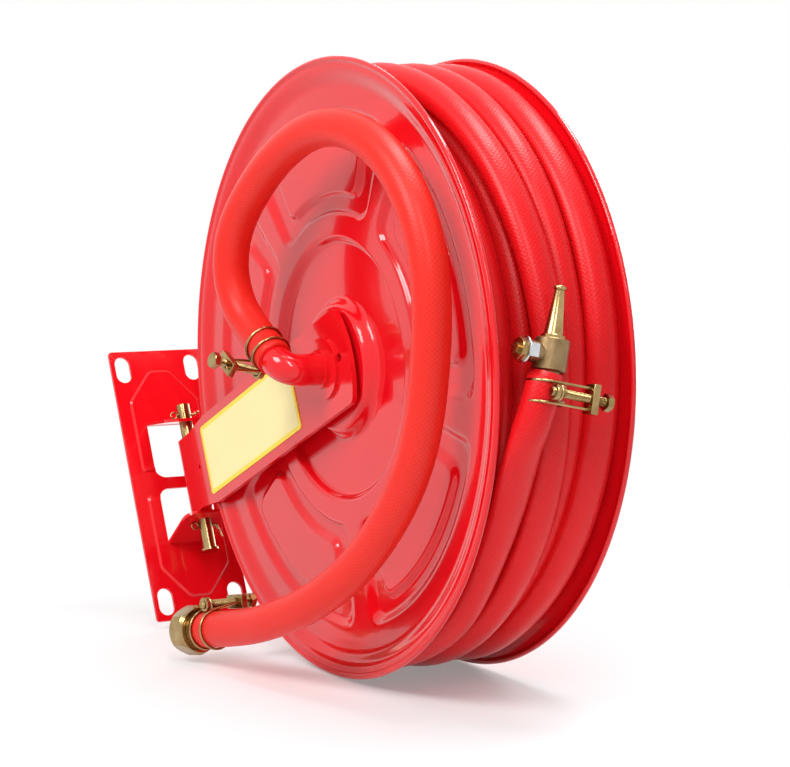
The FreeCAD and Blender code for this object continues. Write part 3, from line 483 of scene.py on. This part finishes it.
# ---------------------------------------------------------------- inlet hose
FEED_SPLINE_STEPS = 14
ELBOW_ANGLE = math.radians(52)
ELBOW_CORNER = Vector((-0.045, 0, 0))
ELBOW_OUT = Vector((0, math.cos(ELBOW_ANGLE), math.sin(ELBOW_ANGLE)))
FEED_START = ELBOW_CORNER + ELBOW_OUT * 0.0185
NUT_AXIS = Vector((-0.1412, 0.9578, 0.2500)).normalized()
FEED_END = Vector((-0.075, 0.1895, -0.1776))

# The route's points in the arm's frame, as in the CAD model but from 5 mm nearer the elbow
FEED_ROUTE = [FEED_START,
              FEED_START + ELBOW_OUT * 0.046,
              Vector((-0.050, 0.052, 0.083)),
              Vector((-0.053, 0.046, 0.119)),
              Vector((-0.051, 0.015, 0.152)),
              Vector((-0.044, -0.064, 0.176)),
              Vector((-0.037, -0.140, 0.170)),
              Vector((-0.030, -0.203, 0.126)),
              Vector((-0.026, -0.235, 0.058)),
              Vector((-0.025, -0.232, -0.016)),
              Vector((-0.028, -0.184, -0.107)),
              Vector((-0.034, -0.137, -0.155)),
              Vector((-0.042, -0.059, -0.190)),
              Vector((-0.053, 0.014, -0.202)),
              Vector((-0.062, 0.078, -0.200)),
              FEED_END - NUT_AXIS * 0.056,
              FEED_END]


def feed_hose():
    route = [TO_ARM @ point for point in FEED_ROUTE]
    line = spline_line(route, FEED_SPLINE_STEPS)
    hose = tube("feed_hose", line, FEED_RADIUS, HOSE_SIDES, feed_rubber)
    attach(hose, "arm")
    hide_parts("inlet_hose")
    on_it = [frame["nodes"][n] for n in ("tail_piece", "swivel_nut", "sealing_washer")]
    on_it += clamp_pieces("feed_end")


# ---------------------------------------------------------------- wound hose
MAIN_SPLINE_STEPS = 5
# Turns that show: angle back from the nozzle, then station, radius and half width.
# They are laid as by hand: squashed together, one of them pressed down.
OUTER_TURNS = ((66, 0.0310, 0.2525, 0.0150), (110, 0.0330, 0.2520, 0.0145), (250, 0.0420, 0.2520, 0.0142),
               (303, 0.0495, 0.2530, 0.0145), (323, 0.0560, 0.2535, 0.0150), (352, 0.0630, 0.2535, 0.0155),
               (378, 0.0660, 0.2535, 0.0155), (396, 0.0640, 0.2535, 0.0155), (415, 0.0640, 0.2530, 0.0150),
               (540, 0.0700, 0.2520, 0.0142), (637, 0.0790, 0.2520, 0.0140), (675, 0.0830, 0.2510, 0.0138),
               (720, 0.0850, 0.2440, 0.0136), (745, 0.0850, 0.2405, 0.0136), (785, 0.0850, 0.2400, 0.0136),
               (900, 0.0980, 0.2500, 0.0140), (1000, 0.1110, 0.2525, 0.0142), (1047, 0.1130, 0.2530, 0.0145),
               (1080, 0.1110, 0.2530, 0.0150), (1110, 0.1055, 0.2530, 0.0155), (1132, 0.1010, 0.2530, 0.0155),
               (1150, 0.1000, 0.2520, 0.0142))
# Further in than this angle the hose is round
ROUND_BEFORE = -1200
LAYER_STEP = 0.0261
OUTER_LAYER = 0.252
COVERED_LAYERS = 5
NEAR_U = 0.0275
FAR_U = 0.1065
MIDDLE_U = 0.067
TURNS_A_LAYER = 4
POINTS_A_TURN = 20
DIVE_POINTS = 5
JOG_POINTS = 4
ROOT_ANGLE = 190

NOZZLE_BASE = wound(0.039, 0.2795, 0)
NOZZLE_MOUTH = wound(0.058, 0.2838, 17.0)
NOZZLE_ALONG = (NOZZLE_MOUTH - NOZZLE_BASE).normalized()
NOZZLE_PLACE = TO_REEL @ facing(NOZZLE_BASE, NOZZLE_ALONG, Vector((0, -1, 0)))
HOSE_TIP = NOZZLE_BASE + NOZZLE_ALONG * 0.0155 + Vector((-0.001, 0, 0))
TIP_RADIUS = 0.0145
# The tail comes off the winding and rises to the nozzle; its last stretch is round.
TAIL_ROUTE = [wound(0.0310, 0.2545, -66),
              wound(0.0311, 0.2575, -51),
              wound(0.0289, 0.2550, -37),
              wound(0.0302, 0.2574, -23),
              wound(0.0262, 0.2700, -10.6),
              NOZZLE_BASE - NOZZLE_ALONG * 0.0103 + Vector((-0.0045, 0, 0)),
              HOSE_TIP]
# Angle and half width along the tail
TAIL_WIDTHS = [(-90, 0.0150), (-40, 0.0152), (-24, 0.0162), (-14, 0.0170), (-8, 0.0158), (-4, TIP_RADIUS)]
# Between these angles its oval becomes a circle
TIP_FROM, TIP_TO = -9, -4

ROOT_START = Vector((MIDDLE_U, 0.024, 0.050))
ROOT_ROUTE = [ROOT_START,
              Vector((MIDDLE_U, 0.062, 0.050)),
              Vector((MIDDLE_U, 0.100, 0.046)),
              wound(MIDDLE_U, 0.1225, 168)]


def wound_route():
    """Control points of the whole main hose, from the hub's outlet out to the nozzle.

    The turns are laid from the outside in: first those that show, then the covered
    layers of four turns, to and fro between the discs. A covered turn runs straight
    round and jogs over to the next at its end."""
    bend = math.cos(math.pi / POINTS_A_TURN)
    step = 360 / POINTS_A_TURN
    marks = np.array(OUTER_TURNS)
    shown = np.arange(marks[0, 0] + step, marks[-1, 0] + step / 2, step)
    stations, radii = (np.interp(shown, marks[:, 0], marks[:, column]) for column in (1, 2))
    back = [wound(u, radius / bend, -angle) for u, radius, angle in zip(stations, radii, shown)]
    angle = shown[-1] + step
    u, radius, near_side = stations[-1], OUTER_LAYER, False
    for layer in range(COVERED_LAYERS):
        innermost = layer == COVERED_LAYERS - 1
        places = np.linspace(FAR_U, NEAR_U, TURNS_A_LAYER)
        places = places[::-1] if near_side else places
        if innermost:
            places = np.append(places[:2], MIDDLE_U)
        for place, after in zip(places, np.append(places[1:], places[-1])):
            for point in range(POINTS_A_TURN):
                diving = place == places[0] and point < DIVE_POINTS
                share = float(smoothstep((point + 1) / DIVE_POINTS)) if diving else 1.0
                jog = float(smoothstep((point + 1 - POINTS_A_TURN + JOG_POINTS) / JOG_POINTS))
                here = u + (place - u) * share + (after - place) * jog
                back.append(wound(here, (radius - LAYER_STEP * share) / bend, -angle))
                angle += step
                if innermost and place == places[-1] and abs((-angle - ROOT_ANGLE) % 360) < step:
                    break
        u, radius, near_side = places[-1], radius - LAYER_STEP, not near_side
    return ROOT_ROUTE + back[::-1] + TAIL_ROUTE


def main_hose():
    """The wound hose as one tube; where it shows it is pressed a little oval."""
    line = spline_line([TO_REEL @ point for point in wound_route()], MAIN_SPLINE_STEPS)
    axis = np.array(TO_REEL.to_3x3() @ Vector((1, 0, 0)))
    local = moved(line, TO_REEL.inverted())
    turned = np.degrees(np.unwrap(np.arctan2(local[:, 2], -local[:, 1])))
    turned -= turned[-1] - math.degrees(math.atan2(HOSE_TIP.z, -HOSE_TIP.y))
    shown = [(-angle, width) for angle, _, _, width in reversed(OUTER_TURNS)][:-1]
    widths = np.interp(turned, *zip((ROUND_BEFORE, MAIN_RADIUS), *shown, *TAIL_WIDTHS))
    at_tip = smoothstep((turned - TIP_FROM) / (TIP_TO - TIP_FROM))
    hose = tube("main_hose", line, MAIN_RADIUS, HOSE_SIDES, main_rubber, widths, axis, at_tip)
    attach(hose, "reel")
    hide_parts("hose_winding", "hose_tail", "hose_root")


# ---------------------------------------------------------------- turned and bevelled pieces
ROUND_SIDES = 48
HEXAGON_SIDE = math.pi / 3
BEVEL_STEPS = 5
# A hexagon's corners are turned off to this share of half its flats, and to this much less on top
BEVEL_FOOT = 1.155
BEVEL_FALL = 0.165
THREAD_PITCH = 0.00125
THREAD_DEPTH = 0.0007
THREAD_ROWS = 6
THREAD_TIP = 0.0006
THREAD_TIP_DEPTH = THREAD_DEPTH * 1.3


def round_skin(name, place, rows):
    """Closed skin round the local Z axis; each row is a height and the radii round it."""
    sides = max(np.size(radii) for _, radii in rows)
    turn = even_turn(sides)
    points = []
    for height, radii in rows:
        radii = np.broadcast_to(radii, sides)
        points.append(np.stack([radii * np.cos(turn), radii * np.sin(turn), np.full(sides, height)], -1))
    points = np.concatenate(points)
    ends = [range(sides)[::-1], range(len(points) - sides, len(points))]
    quads = grid_faces(len(rows), sides, False, True)[:, ::-1]
    return creased(mesh_object(name, moved(points, place), [*quads, *ends]))


def circles(outline, sides=ROUND_SIDES):
    """Rows of a round skin from heights and radii."""
    return [(height, np.full(sides, radius)) for height, radius in outline]


def hexagon_rows(flats, low, high, bevel=0.0007, both=False):
    """Rows of a hexagon head or nut with its corners turned off."""
    angles = (even_turn(ROUND_SIDES) + HEXAGON_SIDE / 2) % HEXAGON_SIDE - HEXAGON_SIDE / 2
    corners = flats / 2 / np.cos(angles)
    rows = []
    for share in np.linspace(0, 1, BEVEL_STEPS):
        cap = flats / 2 * (BEVEL_FOOT - BEVEL_FALL * share)
        rows.append((high - bevel * (1 - share), np.minimum(corners, cap)))
    start = [(low, corners), (low, corners)]
    if both:
        start = [(low + high - height, radii) for height, radii in reversed(rows)]
    return start + rows


def thread_rows(low, high, radius):
    """Rows of a screw thread between two heights."""
    turn = np.arange(ROUND_SIDES) / ROUND_SIDES
    rows = [(low - THREAD_TIP, radius - THREAD_TIP_DEPTH)]
    for height in np.arange(low, high, THREAD_PITCH / THREAD_ROWS):
        phase = np.cos(2 * math.pi * (height / THREAD_PITCH - turn))
        rows.append((height, radius - THREAD_DEPTH * (0.5 - 0.5 * phase)))
    return rows


def rounded_bar(name, place, size, bevel):
    """Block with its edges taken off."""
    shape = bmesh.new()
    bmesh.ops.create_cube(shape, size=1.0)
    bmesh.ops.scale(shape, vec=size, verts=shape.verts)
    bmesh.ops.bevel(shape, geom=shape.edges[:] + shape.verts[:], offset=bevel, segments=3, profile=0.5,
                    affect="EDGES")
    bmesh.ops.transform(shape, matrix=place, verts=shape.verts)
    mesh = bpy.data.meshes.new(name)
    shape.to_mesh(mesh)
    shape.free()
    mesh.polygons.foreach_set("use_smooth", [True] * len(mesh.polygons))
    return creased(link(bpy.data.objects.new(name, mesh)), 40)


def merged(name, parts):
    """One object from several, which are removed."""
    vertices, faces = [], []
    for part in parts:
        start = len(vertices)
        vertices += [tuple(vertex.co) for vertex in part.data.vertices]
        faces += [[start + i for i in face.vertices] for face in part.data.polygons]
        bpy.data.objects.remove(part)
    return creased(mesh_object(name, vertices, faces))


# ---------------------------------------------------------------- hose clamps
# A clamp's own frame has Z along the hose, X out to the bolt and Y along the bolt.
CLAMP_FROM_END = 0.012
# The CAD hose starts 5 mm further out than this one, and its clamp is measured from there
INLET_CLAMP_OUT = 0.017
WIRE = 0.00115
WIRE_SIDES = 12
WIRE_SPLINE_STEPS = 8
# The wire's ends are pressed into small knobs
KNOB_SHARE = 0.45
KNOB_AT = 0.0012
KNOB_SPREAD = 0.0011
RING_GAP = 0.0001
RING_POINTS = 12
RING_STEP = 360 / RING_POINTS
RING_DRIFT_FROM = 6
RING_LIFT = 0.0003
STRANDS_HALF = 0.0083
STRANDS_IN = 0.0024
LOOP_Y = -0.0016
LOOP_HALF = 0.0054
BOLT_R = 0.0038
BOLT_GAP = 0.0006
BOLT_TIP = 0.0068
THREAD_TO_HEAD = 0.0001
BAR_Y = 0.030
BAR_WIDE = 0.0125
BAR_THICK = 0.0065
BAR_PAST_STRANDS = 0.0074
BAR_BEVEL = 0.0009
STRAND_PAST_BAR = 0.0068
STRAND_BEFORE_BAR = 0.004
STRAND_MIDDLE_SHARE = 0.4
HEAD_Y = 0.042
HEAD_FLATS = 0.0125
HEAD_HEIGHT = 0.0055
# Height and radius of the rounded collar on the bolt's tip
COLLAR = ((-0.0050, 0.0050), (-0.0050, 0.0058), (-0.0046, 0.0064), (-0.0042, 0.0065),
          (-0.0022, 0.0065), (-0.0018, 0.0064), (-0.0014, 0.0058), (-0.0014, 0.0050))


def clamp_route(ring_r, bolt_x):
    """Route of a clamp's wire: from the bar twice round the hose, and round the bolt in between."""
    near = STRANDS_HALF - STRANDS_IN
    corner_r = ring_r / math.cos(math.radians(RING_STEP / 2))
    half = [(bolt_x, BAR_Y + STRAND_PAST_BAR, -STRANDS_HALF),
            (bolt_x, BAR_Y - STRAND_BEFORE_BAR, -STRANDS_HALF),
            ((bolt_x + ring_r) / 2, BAR_Y * STRAND_MIDDLE_SHARE, -STRANDS_HALF)]
    for step in range(RING_POINTS):
        angle = -math.radians(RING_STEP * (step + 0.5))
        drift = float(smoothstep((step - RING_DRIFT_FROM) / (RING_POINTS - 1 - RING_DRIFT_FROM)))
        along_hose = -STRANDS_HALF + (STRANDS_HALF - near) * drift
        half.append((corner_r * math.cos(angle), corner_r * math.sin(angle), along_hose))
    half += [(ring_r + RING_LIFT, LOOP_Y, -near), (bolt_x + LOOP_HALF, LOOP_Y, -LOOP_HALF)]
    return half + [(x, y, -z) for x, y, z in reversed(half)]


def clamp(prefix, place, body, hose_r):
    """Twin-wire clamp: bent wire, bar, bolt with its thread, and collar on the bolt's tip."""
    ring_r = hose_r + RING_GAP + WIRE
    bolt_x = hose_r + 2 * WIRE + BOLT_R + BOLT_GAP
    route = [place @ Vector(point) for point in clamp_route(ring_r, bolt_x)]
    line = spline_line(route, WIRE_SPLINE_STEPS)
    along = length_along(line)
    from_end = np.minimum(along, along[-1] - along)
    thick = WIRE * (1 + KNOB_SHARE * np.exp(-((from_end - KNOB_AT) / KNOB_SPREAD) ** 2))
    wire = tube(prefix + "_clamp_bent_wire", line, thick, WIRE_SIDES, yellow_zinc)
    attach(wire, body)
    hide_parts(prefix + "_clamp_wires")

    bar = rounded_bar(prefix + "_clamp_block", place @ Matrix.Translation((bolt_x, BAR_Y, 0)),
                      (BAR_WIDE, BAR_THICK, 2 * STRANDS_HALF + BAR_PAST_STRANDS), BAR_BEVEL)
    finish_piece(bar, yellow_zinc, body, prefix + "_clamp_bar")
    along_bolt = place @ Matrix.Translation((bolt_x, LOOP_Y, 0)) @ Matrix.Rotation(math.radians(-90), 4, "X")
    low = HEAD_Y - LOOP_Y
    shank = thread_rows(-BOLT_TIP, low - THREAD_TO_HEAD, BOLT_R) + [(low, BOLT_R)]
    head = hexagon_rows(HEAD_FLATS, low, low + HEAD_HEIGHT)
    screw = round_skin(prefix + "_clamp_screw", along_bolt, shank + head)
    finish_piece(screw, yellow_zinc, body, prefix + "_clamp_bolt")
    collar = round_skin(prefix + "_clamp_collar", along_bolt, circles(COLLAR))
    finish_piece(collar, yellow_zinc, body, prefix + "_clamp_nut")


def hose_clamps():
    """The visible clamps, each where its solids are."""
    inlet = facing(FEED_START + ELBOW_OUT * INLET_CLAMP_OUT, ELBOW_OUT, Vector((-0.3, 0.8, -0.6)))
    clamp("inlet", TO_ARM @ inlet, "arm", FEED_RADIUS)
    feed_end = facing(FEED_END - NUT_AXIS * CLAMP_FROM_END, NUT_AXIS, Vector((0, -0.25, 1)))
    clamp("feed_end", TO_ARM @ feed_end, "arm", FEED_RADIUS)
    clamp("nozzle", NOZZLE_PLACE, "reel", TIP_RADIUS)


# ---------------------------------------------------------------- jet nozzle
# Heights are along the nozzle from its base; the lever's are out along the valve's spindle.
SPINDLE_HEIGHT = 0.030
LEVER_EDGE = ((0.0245, 0.0085), (0.0245, 0.0104), (0.0247, 0.0108), (0.0251, 0.0110),
              (0.0259, 0.0110), (0.0263, 0.0108), (0.0265, 0.0104), (0.0265, 0.0085))
LEVER_TOP = 0.0265
TAB_PLACE = (0.0100, -0.0220, SPINDLE_HEIGHT)
TAB_SIZE = (0.0019, 0.0088, 0.0110)
TAB_BEVEL = 0.0006
LEVER_NUT_FLATS = 0.017
LEVER_NUT_TOP = 0.0315
LEVER_NUT_BEVEL = 0.0009

JET_SIDES = 64
JET_FROM = 0.043
JET_END = (NOZZLE_MOUTH - NOZZLE_BASE).length
# Height above the collar's foot and radius; then height below the mouth and radius
JET_COLLAR = ((0, 0.0078), (0, 0.0098), (0.0024, 0.0098), (0.0030, 0.0092),
              (0.0031, 0.0082), (0.0050, 0.0077))
JET_NECK = ((0.0050, 0.0041), (0.0042, 0.0042))
JET_BORE = ((0, 0.0033), (0.0008, 0.0029), (0.009, 0.0025))
LIP_BEAD = 0.0020
LIP_CENTRE_R = 0.0032
LIP_POINTS = 9
LIP_HALF_ANGLE = 70


def hand_valve():
    """Lever plate with its bent tab, and the chamfered nut that holds it on the spindle."""
    along = (NOZZLE_PLACE @ Matrix.Translation((0, 0, SPINDLE_HEIGHT))
             @ Matrix.Rotation(math.radians(90), 4, "X"))
    disc = round_skin("lever_disc", along, circles(LEVER_EDGE))
    tab = rounded_bar("lever_tab", NOZZLE_PLACE @ Matrix.Translation(TAB_PLACE), TAB_SIZE, TAB_BEVEL)
    finish_piece(merged("hand_lever", [disc, tab]), bright_zinc, "valve", "valve_lever")
    rows = hexagon_rows(LEVER_NUT_FLATS, LEVER_TOP, LEVER_NUT_TOP, LEVER_NUT_BEVEL, True)
    nut = round_skin("hand_lever_nut", along, rows)
    finish_piece(nut, turned_brass, "valve", "lever_nut")


def jet():
    """Collar, long taper, and a rounded lip round the mouth."""
    outline = [(JET_FROM + up, radius) for up, radius in JET_COLLAR]
    outline += [(JET_END - down, radius) for down, radius in JET_NECK]
    for degrees in np.linspace(-LIP_HALF_ANGLE, LIP_HALF_ANGLE, LIP_POINTS):
        angle = math.radians(degrees)
        outline.append((JET_END - LIP_BEAD + LIP_BEAD * math.sin(angle),
                        LIP_CENTRE_R + LIP_BEAD * math.cos(angle)))
    outline += [(JET_END - down, radius) for down, radius in JET_BORE]
    nozzle = round_skin("jet", NOZZLE_PLACE, circles(outline, JET_SIDES))
    finish_piece(nozzle, turned_brass, "reel", "nozzle_tip")


# ---------------------------------------------------------------- floor, light and camera
# The camera as it was fitted to the photograph, which is 790 pixels wide
CAMERA_FROM_HUB = Vector((-1.01664, -1.78701, -0.59986))
CAMERA_RIGHT = Vector((0.8662, -0.4561, -0.2040))
CAMERA_AHEAD = Vector((0.4974, 0.8247, 0.2692))
FOCAL_PIXELS = 2463.5
PHOTO_WIDTH = 790.0
SENSOR_WIDTH = 36.0

FLOOR_UP = Vector((0, -math.sin(REEL_TURN), math.cos(REEL_TURN)))
FLOOR_DROP = 0.2705
FLOOR_HALF = 1.6
FLOOR_MIDDLE = Vector((0.07, 0, 0))
FLOOR_COLOUR = (0.90, 0.90, 0.91, 1)
# Distances from the middle between which the floor fades, and its white's share at each
FADE_NEAR, FADE_FAR = 0.12, 0.62
WHITE_NEAR, WHITE_FAR = 0.25, 1.0

WHITE = (1, 1, 1, 1)
FILL = 0.28
LAMP_TARGET = HUB + Vector((0.06, 0, 0))


def photo_axes():
    """The camera's right, up and ahead."""
    right = CAMERA_RIGHT.normalized()
    ahead = CAMERA_AHEAD.normalized()
    up = right.cross(ahead).normalized()
    right = ahead.cross(up).normalized()
    return right, up, ahead


def camera():
    right, up, ahead = photo_axes()
    data = bpy.data.cameras.new("photo_camera")
    data.sensor_width = SENSOR_WIDTH
    data.lens = FOCAL_PIXELS * SENSOR_WIDTH / PHOTO_WIDTH
    data.clip_start = 0.05
    obj = link(bpy.data.objects.new("photo_camera", data))
    basis = Matrix((right, up, -ahead)).transposed().to_4x4()
    obj.matrix_world = Matrix.Translation(HUB + CAMERA_FROM_HUB) @ basis
    bpy.context.scene.camera = obj


def white_to_the_eye(tree, lit, white, output, share=None):
    """White for camera, mirror and glass rays, in that share; the lit surface otherwise."""
    def combined(operation, first, second):
        node = tree.nodes.new("ShaderNodeMath")
        node.operation = operation
        tree.links.new(first, node.inputs[0])
        tree.links.new(second, node.inputs[1])
        return node.outputs[0]

    path = tree.nodes.new("ShaderNodeLightPath").outputs
    seen = combined("MAXIMUM", path["Is Camera Ray"], path["Is Glossy Ray"])
    seen = combined("MAXIMUM", seen, path["Is Transmission Ray"])
    if share is not None:
        seen = combined("MULTIPLY", seen, share)
    mix = tree.nodes.new("ShaderNodeMixShader")
    for out_socket, in_socket in zip((seen, lit, white), mix.inputs):
        tree.links.new(out_socket, in_socket)
    tree.links.new(mix.outputs[0], tree.nodes[output].inputs["Surface"])


def floor():
    """The photo's floor touches the reel's rims; it fades towards white away from the reel."""
    centre = HUB - FLOOR_UP * FLOOR_DROP
    side = Vector((1, 0, 0)) * FLOOR_HALF
    deep = FLOOR_UP.cross(Vector((1, 0, 0))) * FLOOR_HALF
    corners = [centre - side - deep, centre + side - deep, centre + side + deep, centre - side + deep]
    plane = mesh_object("floor", corners, [(0, 1, 2, 3)], False)
    s = Shader("floor_white", Roughness=0.7, Base_Color=FLOOR_COLOUR)
    away = s.add("ShaderNodeVectorMath", operation="DISTANCE")
    s.join(s.coords(), away.inputs[0])
    away.inputs[1].default_value = centre + FLOOR_MIDDLE
    share = s.span(away.outputs["Value"], WHITE_NEAR, WHITE_FAR, FADE_NEAR, FADE_FAR)
    white = s.add("ShaderNodeEmission", Strength=1.0)
    white_to_the_eye(s.tree, s.bsdf.outputs[0], white.outputs[0], "Material Output", share)
    plane.data.materials.append(s.material)


def lamp(name, place, size, power):
    """Area lamp turned to the reel's middle."""
    data = bpy.data.lights.new(name, "AREA")
    data.shape = "RECTANGLE"
    data.size, data.size_y = size
    data.energy = power
    obj = link(bpy.data.objects.new(name, data))
    obj.location = place
    obj.rotation_euler = (LAMP_TARGET - place).to_track_quat("-Z", "Y").to_euler()


def lights():
    right, _, ahead = photo_axes()
    world = bpy.data.worlds.new("studio")
    bpy.context.scene.world = world
    world.use_nodes = True
    tree = world.node_tree
    fill = tree.nodes["Background"]
    fill.inputs["Color"].default_value = WHITE
    fill.inputs["Strength"].default_value = FILL
    white = tree.nodes.new("ShaderNodeBackground")
    white.inputs["Color"].default_value = WHITE
    white_to_the_eye(tree, fill.outputs[0], white.outputs[0], "World Output")
    lamp("key", LAMP_TARGET - ahead * 1.1 - right * 1.2 + FLOOR_UP * 1.3, (0.8, 0.8), 28)
    lamp("top", LAMP_TARGET + FLOOR_UP * 1.6 + right * 0.3, (1.1, 0.35), 20)
    lamp("back", LAMP_TARGET + Vector((1.3, 1.1, 0.7)), (1.0, 1.0), 16)
    lamp("front", LAMP_TARGET + Vector((-0.36, -0.88, 0.30)) * 1.9, (0.22, 1.0), 9)


# ---------------------------------------------------------------- everything
def main():
    bpy.context.scene.view_settings.view_transform = "Standard"
    dress_nodes()
    pressed_disc("front_pressed_disc", "front_disc", False)
    pressed_disc("rear_pressed_disc", "rear_disc", True)
    hose_clamps()
    jet()
    hand_valve()
    feed_hose()
    main_hose()
    floor()
    lights()
    camera()


main()
